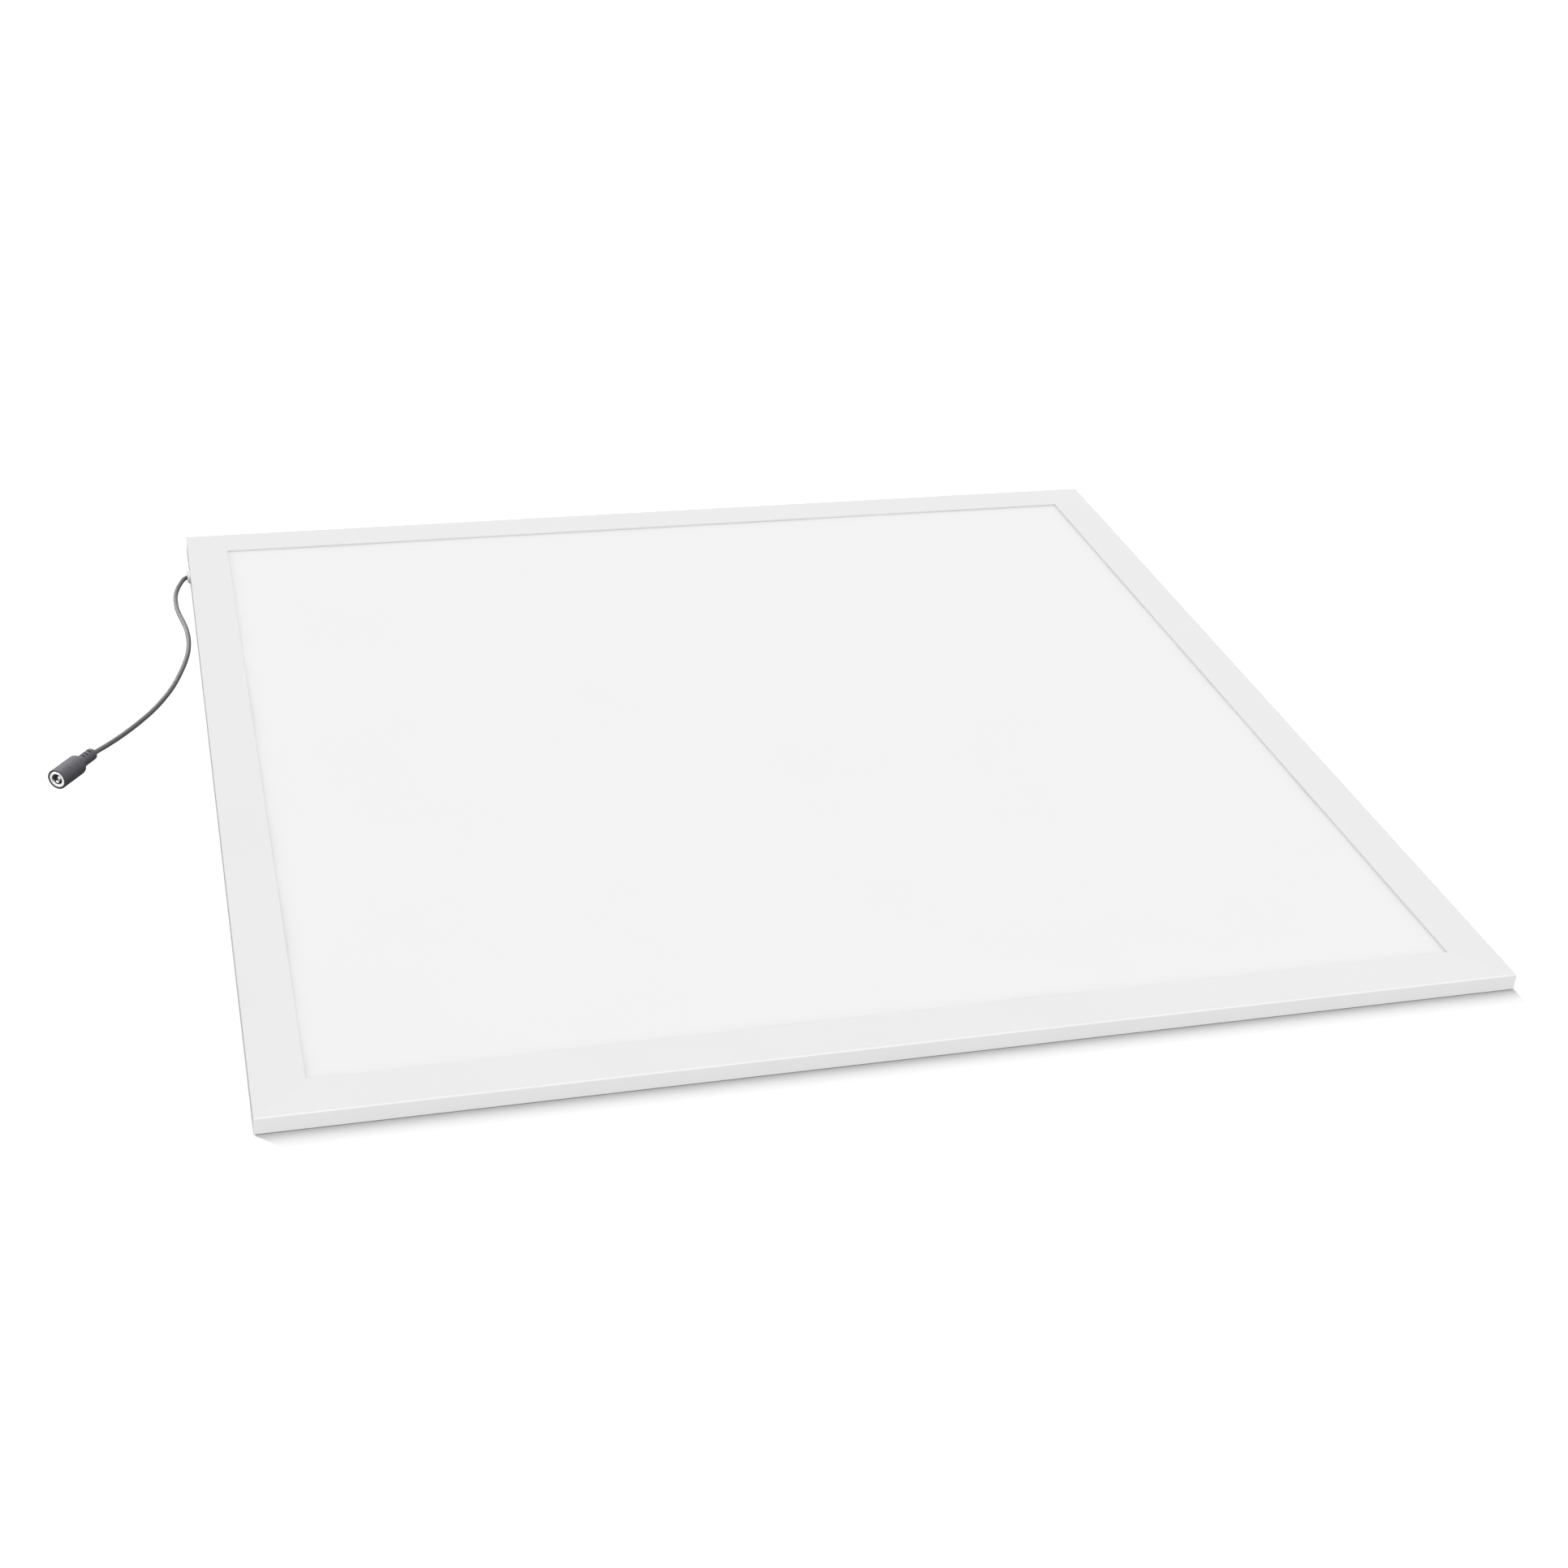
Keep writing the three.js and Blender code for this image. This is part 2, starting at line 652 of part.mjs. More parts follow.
function socketInsert() {
  const front = 2.4;
  const floor = 9.5;
  const rear = 12;
  const bore = 3.2;
  const pinHole = 1.35;
  const profile = [
    [bore, front],
    [CONTACT_RADIUS, front],
    [CONTACT_RADIUS, rear],
    [pinHole, rear],
    [pinHole, floor],
    [bore, floor],
    [bore, front],
  ];
  return cut(revolve(profile, SOCKET_SIDES), [springRoom()]);
}

function socketPin() {
  const radius = 1.05;
  const tipY = 1.8;
  const rear = 14;
  const nose = 0.5;
  const profile = [
    [0, tipY],
    [radius - nose, tipY],
    ...quarter([radius - nose, tipY + nose], nose, -60, 0, 2),
    [radius, rear],
    [0, rear],
  ];
  return revolve(profile, 16);
}

// Bowed leaf that presses on the sleeve of the plug, drawn in the plane of radius and y.
function springContact() {
  const width = 1.6;
  const thickness = 0.25;
  const centreLine = [[2.8, 9.2], [2.74, 7.6], [2.58, 5.4], [2.38, 3], [2.46, 2.2], [2.75, 1.4]];
  const inner = centreLine.map(([r, y]) => new THREE.Vector2(r - thickness / 2, y));
  const outer = centreLine.map(([r, y]) => new THREE.Vector2(r + thickness / 2, y)).reverse();
  const leaf = prism(new THREE.Shape([...inner, ...outer]), -width / 2, width / 2);
  return leaf.rotateY(-SPRING_ANGLE);
}

function addSocket() {
  const socket = new THREE.Group();
  socket.position.copy(SOCKET_MOUTH);
  socket.rotation.z = -SOCKET_TURN;
  model.add(socket);
  addPiece('socket_shell', socketShell(), darkGreyPvc, socket);
  addPiece('socket_ring', socketRing(), platedSteel, socket);
  addPiece('socket_insert', socketInsert(), blackNylon, socket);
  addPiece('socket_pin', socketPin(), platedSteel, socket);
  addPiece('spring_contact', springContact(), platedSteel, socket);
}

// ---------------------------------------------------------------- assembly

addFrame();
addCornerKeys();
addPiece('back_plate', backPlate(), whitePowderCoat);
addScrews();
addOpticalStack();
addLightSource();
addWires();
addPiece('cable_outlet', cableOutlet(), whitePolycarbonate);
addPiece('cable_tie', cableTie(), whiteNylon);
addLead();
addSocket();

export default model;
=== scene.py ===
"""Looks of the flat LED light panel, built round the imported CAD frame. Metres, +Z up.

The CAD nodes that already have their true shape keep it and get a procedural finish here. The
lead's jacket, the socket and the cable outlet are rebuilt as finer meshes in the CAD's places.
"""

import json
import math

import bmesh
import bpy
import numpy as np
from mathutils import Matrix, Vector


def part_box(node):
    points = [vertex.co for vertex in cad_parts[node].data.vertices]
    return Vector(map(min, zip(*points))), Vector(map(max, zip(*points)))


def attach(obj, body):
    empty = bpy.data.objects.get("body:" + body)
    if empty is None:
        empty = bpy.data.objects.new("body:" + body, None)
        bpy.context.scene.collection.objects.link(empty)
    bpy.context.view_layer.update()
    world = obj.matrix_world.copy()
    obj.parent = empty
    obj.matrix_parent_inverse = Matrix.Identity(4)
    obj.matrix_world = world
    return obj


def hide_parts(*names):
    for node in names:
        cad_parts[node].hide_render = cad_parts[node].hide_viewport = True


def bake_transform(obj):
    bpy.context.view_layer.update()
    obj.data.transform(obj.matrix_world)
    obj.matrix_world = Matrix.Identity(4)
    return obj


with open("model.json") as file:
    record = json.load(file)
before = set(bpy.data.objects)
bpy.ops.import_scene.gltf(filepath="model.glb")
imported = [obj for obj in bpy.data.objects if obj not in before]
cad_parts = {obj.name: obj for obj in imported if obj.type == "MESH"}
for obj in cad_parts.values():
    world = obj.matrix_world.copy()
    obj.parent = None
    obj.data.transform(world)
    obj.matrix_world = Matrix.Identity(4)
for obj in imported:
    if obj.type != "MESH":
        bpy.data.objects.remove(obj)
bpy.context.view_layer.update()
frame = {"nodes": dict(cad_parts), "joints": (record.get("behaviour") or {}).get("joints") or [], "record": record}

MM = 0.001
UP = Vector((0, 0, 1))


# ------------------------------------------------------------------ places taken from the frame


def joint(name):
    return next(j for j in frame["joints"] if j["name"] == name)


def mount(name):
    return next(m for m in frame["record"]["mounts"] if m["name"] == name)


PANEL_HALF = -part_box("frame_front")[0].y
WINDOW_HALF = -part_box("frame_front")[1].y
LEAD_RADIUS = (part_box("lead_section_4")[1].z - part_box("lead_section_4")[0].z) / 2


# ------------------------------------------------------------------ material helpers


class Finish:
    """A material's node tree, with short ways to add texture nodes to it."""

    def __init__(self, name, color, roughness, metallic=0.0):
        self.material = bpy.data.materials.new(name)
        self.material.use_nodes = True
        self.tree = self.material.node_tree
        self.shader = self.tree.nodes["Principled BSDF"]
        self.shader.inputs["Base Color"].default_value = (*color, 1)
        self.shader.inputs["Roughness"].default_value = roughness
        self.shader.inputs["Metallic"].default_value = metallic
        self.material.diffuse_color = (*color, 1)
        self.place = self.node("ShaderNodeTexCoord").outputs["Object"]
        self.height = None

    def node(self, kind, **settings):
        made = self.tree.nodes.new(kind)
        for key, value in settings.items():
            setattr(made, key, value)
        return made

    def link(self, source, target):
        self.tree.links.new(source, target)
        return target

    def math(self, operation, first, second=None):
        made = self.node("ShaderNodeMath", operation=operation)
        for slot, value in zip(made.inputs, (first, second)):
            if isinstance(value, (int, float)):
                slot.default_value = value
            elif value is not None:
                self.link(value, slot)
        return made.outputs[0]

    def stretched(self, scale):
        made = self.node("ShaderNodeMapping")
        made.inputs["Scale"].default_value = scale
        self.link(self.place, made.inputs["Vector"])
        return made.outputs[0]

    def noise(self, size, detail=2.0, stretch=None):
        """Grey noise whose features are about size metres across."""
        made = self.node("ShaderNodeTexNoise")
        made.inputs["Scale"].default_value = 1 / size
        made.inputs["Detail"].default_value = detail
        self.link(self.stretched(stretch) if stretch else self.place, made.inputs["Vector"])
        return made.outputs["Fac"]

    def ramp(self, value, low, high, start=0.0, end=1.0):
        """value mapped from low..high to start..end, clamped."""
        made = self.node("ShaderNodeMapRange", clamp=True)
        for slot, number in zip(made.inputs[1:5], (low, high, start, end)):
            slot.default_value = number
        self.link(value, made.inputs[0])
        return made.outputs[0]

    def tint(self, factor, color):
        """Mixes color over the base colour so far, by factor."""
        base = self.shader.inputs["Base Color"]
        mix = self.node("ShaderNodeMix", data_type="RGBA")
        if base.is_linked:
            self.link(base.links[0].from_socket, mix.inputs["A"])
        else:
            mix.inputs["A"].default_value = base.default_value
        mix.inputs["B"].default_value = (*color, 1)
        self.link(factor, mix.inputs["Factor"])
        self.link(mix.outputs["Result"], base)
        return self

    def vary_roughness(self, factor, low, high):
        self.link(self.ramp(factor, 0.3, 0.7, low, high), self.shader.inputs["Roughness"])
        return self

    def relief(self, value, depth):
        """Adds a bump in which value's range stands for depth metres."""
        bump = self.node("ShaderNodeBump")
        bump.inputs["Strength"].default_value = 1
        bump.inputs["Distance"].default_value = depth
        self.link(value, bump.inputs["Height"])
        if self.height is not None:
            self.link(self.height, bump.inputs["Normal"])
        self.height = bump.outputs["Normal"]
        self.link(self.height, self.shader.inputs["Normal"])
        return self


def shade(color, factor):
    return tuple(channel * factor for channel in color)


# ------------------------------------------------------------------ materials


def powder_coat(name, color):
    """Smooth white polyester powder: faint orange peel and a fine grain in its gloss."""
    coat = Finish(name, color, 0.42)
    coat.tint(coat.ramp(coat.noise(60 * MM), 0.35, 0.65), shade(color, 0.988))
    coat.vary_roughness(coat.noise(3 * MM, detail=3), 0.36, 0.46)
    coat.relief(coat.noise(1.4 * MM, detail=1), 0.006 * MM)
    coat.relief(coat.noise(0.25 * MM, detail=2), 0.0012 * MM)
    return coat.material


def opal_acrylic():
    """Frosted diffuser, with painted shade that darkens its colour along the bezel."""
    white = (0.855, 0.855, 0.858)
    opal = Finish("opal_acrylic", white, 0.4)
    axes = opal.node("ShaderNodeSeparateXYZ")
    opal.link(opal.place, axes.inputs[0])
    x = opal.math("ABSOLUTE", axes.outputs["X"])
    y = opal.math("ABSOLUTE", axes.outputs["Y"])
    reach = opal.math("MAXIMUM", x, y)
    # Painted shade: two bands, 9 mm and 3 mm wide, darken the diffuser's colour towards the bezel.
    for width, power, painted_shade in ((9 * MM, 1.6, 0.93), (3 * MM, 1.5, 0.85)):
        edge = opal.ramp(reach, WINDOW_HALF - width, WINDOW_HALF)
        opal.tint(opal.math("POWER", edge, power), shade(white, painted_shade))
    opal.tint(opal.ramp(opal.noise(90 * MM), 0.3, 0.7), shade(white, 0.992))
    opal.vary_roughness(opal.noise(8 * MM, detail=3), 0.36, 0.44)
    opal.relief(opal.noise(0.35 * MM, detail=2), 0.0025 * MM)
    return opal.material


def moulded_plastic(name, color, roughness, grain=0.2 * MM, depth=0.004 * MM):
    plastic = Finish(name, color, roughness)
    plastic.tint(plastic.ramp(plastic.noise(5 * MM), 0.35, 0.65), shade(color, 0.93))
    plastic.vary_roughness(plastic.noise(1.5 * MM), roughness - 0.05, roughness + 0.07)
    plastic.relief(plastic.noise(grain, detail=2), depth)
    return plastic.material


def soft_pvc(name, color, roughness=0.42):
    """Extruded cable jacket: faint mottling and a slightly dragged skin."""
    pvc = Finish(name, color, roughness)
    pvc.tint(pvc.ramp(pvc.noise(4 * MM, detail=3), 0.4, 0.7), shade(color, 1.18))
    pvc.tint(pvc.ramp(pvc.noise(0.9 * MM, detail=3), 0.55, 0.75), shade(color, 0.82))
    pvc.vary_roughness(pvc.noise(1.2 * MM), roughness - 0.06, roughness + 0.08)
    pvc.relief(pvc.noise(0.5 * MM, detail=3), 0.012 * MM)
    return pvc.material


def plated_metal(name, color, roughness, scratch):
    """Bright plating with fine turning marks stretched along scratch."""
    metal = Finish(name, color, roughness, metallic=1.0)
    marks = metal.noise(0.12 * MM, detail=2, stretch=scratch)
    metal.vary_roughness(marks, roughness - 0.05, roughness + 0.1)
    metal.relief(marks, 0.0008 * MM)
    return metal.material


def cast_metal():
    metal = Finish("cast_key", (0.56, 0.57, 0.59), 0.45, metallic=1.0)
    metal.tint(metal.ramp(metal.noise(2 * MM, detail=4), 0.4, 0.7), (0.42, 0.43, 0.45))
    metal.relief(metal.noise(0.4 * MM, detail=4), 0.02 * MM)
    return metal.material


def open_cell_foam():
    foam = Finish("foam", (0.3, 0.31, 0.32), 0.95)
    cells = foam.node("ShaderNodeTexVoronoi")
    cells.inputs["Scale"].default_value = 1 / (0.8 * MM)
    foam.link(foam.place, cells.inputs["Vector"])
    # Painted shade: the colour darkens in the pits at the cells' centres, where the bump sinks.
    foam.tint(foam.ramp(cells.outputs["Distance"], 0.0, 0.6, 1.0, 0.0), (0.12, 0.12, 0.13))
    foam.relief(cells.outputs["Distance"], 0.25 * MM)
    return foam.material


def clear_acrylic():
    guide = Finish("clear_acrylic", (0.93, 0.96, 0.97), 0.06)
    guide.shader.inputs["Transmission Weight"].default_value = 0.85
    guide.shader.inputs["IOR"].default_value = 1.49
    guide.vary_roughness(guide.noise(2 * MM, detail=3), 0.04, 0.09)
    return guide.material


def circuit_board():
    """White solder mask, with yellow phosphor on the faces of the diodes that stand off it."""
    board = Finish("circuit_board", (0.84, 0.84, 0.8), 0.35)
    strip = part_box("led_strip_front")
    axes = board.node("ShaderNodeSeparateXYZ")
    board.link(board.place, axes.inputs[0])
    depth = board.math("ABSOLUTE", axes.outputs["Y"])
    face = -strip[1].y
    on_diode = board.ramp(depth, face + 0.25 * MM, face + 0.2 * MM)
    board.tint(on_diode, (0.82, 0.66, 0.12))
    board.vary_roughness(board.noise(1 * MM), 0.3, 0.42)
    board.relief(board.noise(0.6 * MM), 0.004 * MM)
    return board.material


def woven_tape():
    tape = Finish("thermal_tape", (0.66, 0.68, 0.71), 0.8)
    tape.relief(tape.noise(0.4 * MM, detail=2, stretch=(4, 1, 1)), 0.02 * MM)
    tape.tint(tape.ramp(tape.noise(3 * MM), 0.4, 0.6), (0.58, 0.6, 0.64))
    return tape.material


def make_materials():
    white = (0.80, 0.80, 0.805)
    turned = (1, 1, 6)
    return {
        "powder_coat": powder_coat("powder_coat", white),
        "back_coat": powder_coat("back_coat", shade(white, 0.97)),
        "opal_acrylic": opal_acrylic(),
        "clear_acrylic": clear_acrylic(),
        "reflector_film": moulded_plastic("reflector_film", (0.93, 0.93, 0.93), 0.35, 1 * MM),
        "foam": open_cell_foam(),
        "zinc_steel": plated_metal("zinc_steel", (0.62, 0.64, 0.66), 0.32, turned),
        "cast_key": cast_metal(),
        "circuit_board": circuit_board(),
        "thermal_tape": woven_tape(),
        "white_plastic": moulded_plastic("white_plastic", (0.86, 0.86, 0.87), 0.38),
        "tie_plastic": moulded_plastic("tie_plastic", (0.78, 0.78, 0.75), 0.45),
        "grey_pvc": soft_pvc("grey_pvc", (0.075, 0.074, 0.08), 0.5),
        "socket_pvc": soft_pvc("socket_pvc", (0.062, 0.061, 0.07), 0.62),
        "red_pvc": soft_pvc("red_pvc", (0.42, 0.02, 0.015)),
        "black_pvc": soft_pvc("black_pvc", (0.014, 0.014, 0.015)),
        "black_nylon": moulded_plastic("black_nylon", (0.1, 0.1, 0.1), 0.4),
        "nickel": plated_metal("nickel", (0.86, 0.86, 0.855), 0.22, turned),
    }


materials = make_materials()


def finish_cad_nodes():
    """Gives every CAD node the material of its slot in the record."""
    for entry in frame["record"]["subparts"]:
        shown = frame["nodes"][entry["node"]]
        shown.data.materials.clear()
        shown.data.materials.append(materials[entry["material_slot"]])


# ------------------------------------------------------------------ mesh helpers


def mesh_piece(name, points, faces, material, sharp_degrees=35):
    """A closed mesh object, facing out, with smooth faces and sharp edges above the given angle."""
    mesh = bpy.data.meshes.new(name)
    mesh.from_pydata([tuple(p) for p in points], [], faces)
    shape = bmesh.new()
    shape.from_mesh(mesh)
    if shape.calc_volume(signed=True) < 0:
        bmesh.ops.reverse_faces(shape, faces=shape.faces)
    shape.to_mesh(mesh)
    shape.free()
    piece = bpy.data.objects.new(name, mesh)
    bpy.context.scene.collection.objects.link(piece)
    mesh.shade_smooth()
    mesh.set_sharp_from_angle(angle=math.radians(sharp_degrees))
    mesh.materials.append(materials[material])
    return piece


def ring_faces(rings, sides, closed):
    """Quads between neighbouring rings of points. closed also joins the last ring to the first."""
    faces = []
    for i in range(rings if closed else rings - 1):
        here, after = i * sides, ((i + 1) % rings) * sides
        for k in range(sides):
            right = (k + 1) % sides
            faces.append((here + k, here + right, after + right, after + k))
    return faces


def capped_faces(rings, sides):
    first = tuple(reversed(range(sides)))
    last = tuple(range((rings - 1) * sides, rings * sides))
    return ring_faces(rings, sides, closed=False) + [first, last]


def circle(radius, sides):
    """Angles' unit vectors times radius, as an array of (x, z) pairs."""
    angles = np.linspace(0, 2 * math.pi, sides, endpoint=False)
    return radius * np.stack([np.cos(angles), np.sin(angles)], axis=1)


# ------------------------------------------------------------------ lead


LEAD_NODES = ["lead_entry"] + [f"lead_section_{i}" for i in range(1, 8)]
LEAD_JOINTS = [
    "lead_lift",
    "lead_bend",
    "lead_lift_2",
    "lead_bend_2",
    "lead_lift_3",
    "lead_bend_3",
    "lead_bend_4",
]
JACKET_SIDES = 28
JACKET_STEP = 0.9 * MM


def ring_centres(node, start):
    """Centres of a swept CAD rod's rings of points, in order from the end nearest start."""
    mesh = frame["nodes"][node].data
    places, index, seen = [], [], {}
    for vertex in mesh.vertices:
        key = tuple(round(c * 1e6) for c in vertex.co)
        if key not in seen:
            seen[key] = len(places)
            places.append(vertex.co)
        index.append(seen[key])
    neighbours = [set() for _ in places]
    for polygon in mesh.polygons:
        corners = [index[v] for v in polygon.vertices]
        for corner in corners:
            neighbours[corner].update(corners)
    distances = [(place - start).length for place in places]
    nearest = min(distances)
    ring = {i for i, d in enumerate(distances) if d < nearest + 1.5 * LEAD_RADIUS}
    used, centres = set(), []
    while ring:
        centres.append(sum((places[v] for v in ring), Vector()) / len(ring))
        used |= ring
        ring = set().union(*(neighbours[v] for v in ring)) - used
    return centres


def lead_centre_line():
    """A smooth line through the centres of all the CAD lead's rings, as evenly spaced points."""
    low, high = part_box("lead_entry")
    start = Vector((high.x, high.y - LEAD_RADIUS, high.z - LEAD_RADIUS))
    rough = []
    for node in LEAD_NODES:
        rough += ring_centres(node, start)
        start = rough[-1]
    rough = np.array(rough)
    along = np.concatenate([[0], np.cumsum(np.linalg.norm(np.diff(rough, axis=0), axis=1))])
    slopes = np.gradient(rough, along, axis=0)
    wanted = np.linspace(0, along[-1], round(along[-1] / JACKET_STEP) + 1)
    return hermite(along, rough, slopes, wanted)


def hermite(knots, values, slopes, wanted):
    """Cubic through values with the given slopes at knots, read at wanted."""
    left = np.clip(np.searchsorted(knots, wanted, side="right") - 1, 0, len(knots) - 2)
    span = (knots[left + 1] - knots[left])[:, None]
    t = (wanted - knots[left])[:, None] / span
    return (
        (1 + 2 * t) * (1 - t) ** 2 * values[left]
        + t * (1 - t) ** 2 * span * slopes[left]
        + t**2 * (3 - 2 * t) * values[left + 1]
        + t**2 * (t - 1) * span * slopes[left + 1]
    )


def tube_rings(path, radius, sides):
    """Rings of points round every point of path, without twist between them."""
    tangents = np.gradient(path, axis=0)
    tangents /= np.linalg.norm(tangents, axis=1)[:, None]
    across = np.cross(tangents[0], UP)
    rings = []
    for place, tangent in zip(path, tangents):
        across = across - tangent * (across @ tangent)
        across /= np.linalg.norm(across)
        other = np.cross(tangent, across)
        rings.append(place + circle(radius, sides) @ np.array([across, other]))
    return rings


LEAD_PATH = lead_centre_line()


def make_lead():
    """One jacket piece for each joint, from the middle of one CAD section to the next.

    Each piece follows the lead's curve across its joint, and neighbours meet end to end.
    """
    path = LEAD_PATH
    rings = tube_rings(path, LEAD_RADIUS, JACKET_SIDES)
    joints = [np.array(joint(name)["pos_m"]) for name in LEAD_JOINTS]
    stations = [int(np.argmin(np.linalg.norm(path - place, axis=1))) for place in joints]
    middles = [(a + b) // 2 for a, b in zip(stations, stations[1:])]
    cuts = [0, *middles, len(path) - 1]
    for i, name in enumerate(LEAD_JOINTS):
        low, high = cuts[i], cuts[i + 1]
        span = rings[low : high + 1]
        points = np.concatenate(span)
        faces = capped_faces(len(span), JACKET_SIDES)
        piece = mesh_piece(f"lead_jacket_{i + 1}", points, faces, "grey_pvc", 60)
        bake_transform(piece)
        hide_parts(LEAD_NODES[i + 1])
        if i == 0:
            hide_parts(LEAD_NODES[0])


# ------------------------------------------------------------------ socket

SOCKET_SIDES = 120
SHELL_RADIUS = 5.5 * MM
SHELL_LENGTH = 19.2 * MM
SHOULDER = 2.2 * MM
RELIEF_RADIUS = 3.35 * MM
RELIEF_LENGTH = 12.1 * MM
RELIEF_TIP = 1.3 * MM
SLOT_STATIONS = [3.1 * MM, 5.5 * MM, 8.5 * MM]
SLOT_FLOOR = 2.05 * MM
SLOT_HALF = 0.45 * MM
SLOT_TURN = math.radians(-12)
CAVITY_RADIUS = 4.65 * MM
CAVITY_DEPTH = 12.3 * MM
JACKET_BORE = LEAD_RADIUS + 0.32 * MM
CONTACT_RADIUS = 4.45 * MM
RING_FRONT = 0.15 * MM
RING_REAR = 2.2 * MM
SPRING_ANGLE = math.radians(-115)
SPRING_ROOM = 3.9 * MM
SPRING_ROOM_HALF_ANGLE = math.radians(22)
ROOM_FRONT = 1.0 * MM


def socket_place():
    """From the socket's own frame, with local Y running inwards from its mouth, to the row's."""
    inwards = -Vector(mount("socket_mouth")["axis"]).normalized()
    low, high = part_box("socket_ring")
    origin = (low + high) / 2 - inwards * (RING_FRONT + RING_REAR) / 2
    right = inwards.cross(UP)
    turn = Matrix((right, inwards, UP)).transposed().to_4x4()
    return Matrix.Translation(origin) @ turn


def arc(centre_y, centre_r, radius, start_degrees, end_degrees, steps=6):
    """Quarter-round stretches of a profile, as (y, radius) pairs."""
    angles = np.radians(np.linspace(start_degrees, end_degrees, steps + 1))
    return [(centre_y + radius * math.sin(a), centre_r + radius * math.cos(a)) for a in angles]


def turned_piece(name, profile, material, body, sides=SOCKET_SIDES, closed=True):
    """A body of revolution about the socket's axis from (y, radius) pairs.

    A radius may be an array with one value for each side, for a piece that isn't round.
    """
    unit = circle(1.0, sides)
    rings = []
    for y, radius in profile:
        flat = unit * np.reshape(radius, (-1, 1))
        rings.append(np.stack([flat[:, 0], np.full(sides, y), flat[:, 1]], axis=1))
    points = np.concatenate(rings)
    faces = ring_faces(len(rings), sides, True) if closed else capped_faces(len(rings), sides)
    piece = mesh_piece(name, points, faces, material)
    piece.data.transform(socket_place())
    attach(piece, body)
    return piece


def angular_window(centre, half_width, sides=SOCKET_SIDES):
    """True for each side whose direction lies within half_width of centre."""
    angles = np.linspace(0, 2 * math.pi, sides, endpoint=False)
    away = np.abs((angles - centre + math.pi) % (2 * math.pi) - math.pi)
    return away < half_width


def relief_profile():
    """The strain relief, with three slots across its top and three across its bottom."""
    edge = 0.06 * MM
    across = np.array([math.sin(SLOT_TURN), math.cos(SLOT_TURN)])
    height = np.abs(circle(1.0, SOCKET_SIDES) @ across)
    floor = np.minimum(SLOT_FLOOR / np.maximum(height, 0.01), RELIEF_RADIUS)
    lip = np.where(floor < RELIEF_RADIUS, RELIEF_RADIUS - edge, RELIEF_RADIUS)
    profile = [(SHELL_LENGTH, RELIEF_RADIUS)]
    for station in SLOT_STATIONS:
        middle = SHELL_LENGTH + station
        profile += [
            (middle - SLOT_HALF - edge, RELIEF_RADIUS),
            (middle - SLOT_HALF, lip),
            (middle - SLOT_HALF, floor),
            (middle + SLOT_HALF, floor),
            (middle + SLOT_HALF, lip),
            (middle + SLOT_HALF + edge, RELIEF_RADIUS),
        ]
    end = SHELL_LENGTH + RELIEF_LENGTH
    profile += arc(end - RELIEF_TIP, RELIEF_RADIUS - RELIEF_TIP, RELIEF_TIP, 0, 90)
    return profile


def shell_profile():
    """Outside of the moulded body from its mouth to the lead, then back along its bore."""
    rim = 0.25 * MM
    ridge_pitch = 0.8 * MM
    ridge_height = 0.025 * MM
    ridges_start = 1.2 * MM
    ridges_end = SHELL_LENGTH - SHOULDER - 0.6 * MM
    count = round((ridges_end - ridges_start) / ridge_pitch)
    profile = [(0.1 * MM, CAVITY_RADIUS), (0, CAVITY_RADIUS + 0.1 * MM)]
    profile += reversed(arc(rim, SHELL_RADIUS - rim, rim, 0, -90, 4))
    for y in np.linspace(ridges_start, ridges_start + count * ridge_pitch, 6 * count + 1):
        wave = 0.5 - 0.5 * math.cos(2 * math.pi * (y - ridges_start) / ridge_pitch)
        profile.append((y, SHELL_RADIUS - ridge_height * wave))
    profile += arc(SHELL_LENGTH - SHOULDER, SHELL_RADIUS - SHOULDER, SHOULDER, 0, 90, 10)
    profile += relief_profile()
    profile += [
        (SHELL_LENGTH + RELIEF_LENGTH, JACKET_BORE),
        (CAVITY_DEPTH, JACKET_BORE),
        (CAVITY_DEPTH, CAVITY_RADIUS),
    ]
    return profile


def spring_room(bore):
    """A bore's radius for each side, opened out behind the spring contact."""
    return np.where(angular_window(SPRING_ANGLE, SPRING_ROOM_HALF_ANGLE), SPRING_ROOM, bore)


def ring_profile():
    bore, chamfer, edge = 2.85 * MM, 0.35 * MM, 0.1 * MM
    return [
        (RING_FRONT + chamfer, bore),
        (RING_FRONT + 0.02 * MM, bore + chamfer),
        (RING_FRONT, bore + chamfer + 0.05 * MM),
        (RING_FRONT, CONTACT_RADIUS - edge - 0.05 * MM),
        (RING_FRONT + edge, CONTACT_RADIUS),
        (RING_REAR, CONTACT_RADIUS),
        (RING_REAR, spring_room(bore)),
        (ROOM_FRONT, spring_room(bore)),
        (ROOM_FRONT, bore),
    ]


def insert_profile():
    """The insulator, with room in its wall for the spring contact to move outwards."""
    front, floor, rear = 2.4 * MM, 9.5 * MM, 12 * MM
    bore, pin_hole = 3.2 * MM, 1.35 * MM
    room = spring_room(bore)
    return [
        (front, room),
        (front, CONTACT_RADIUS),
        (rear, CONTACT_RADIUS),
        (rear, pin_hole),
        (floor, pin_hole),
        (floor, room),
    ]


def pin_profile():
    radius, tip, rear, nose = 1.05 * MM, 1.8 * MM, 14 * MM, 0.55 * MM
    rounded = reversed(arc(tip + nose, radius - nose, nose, 0, -80, 6))
    return [(tip, 0.1 * MM), *rounded, (rear, radius)]


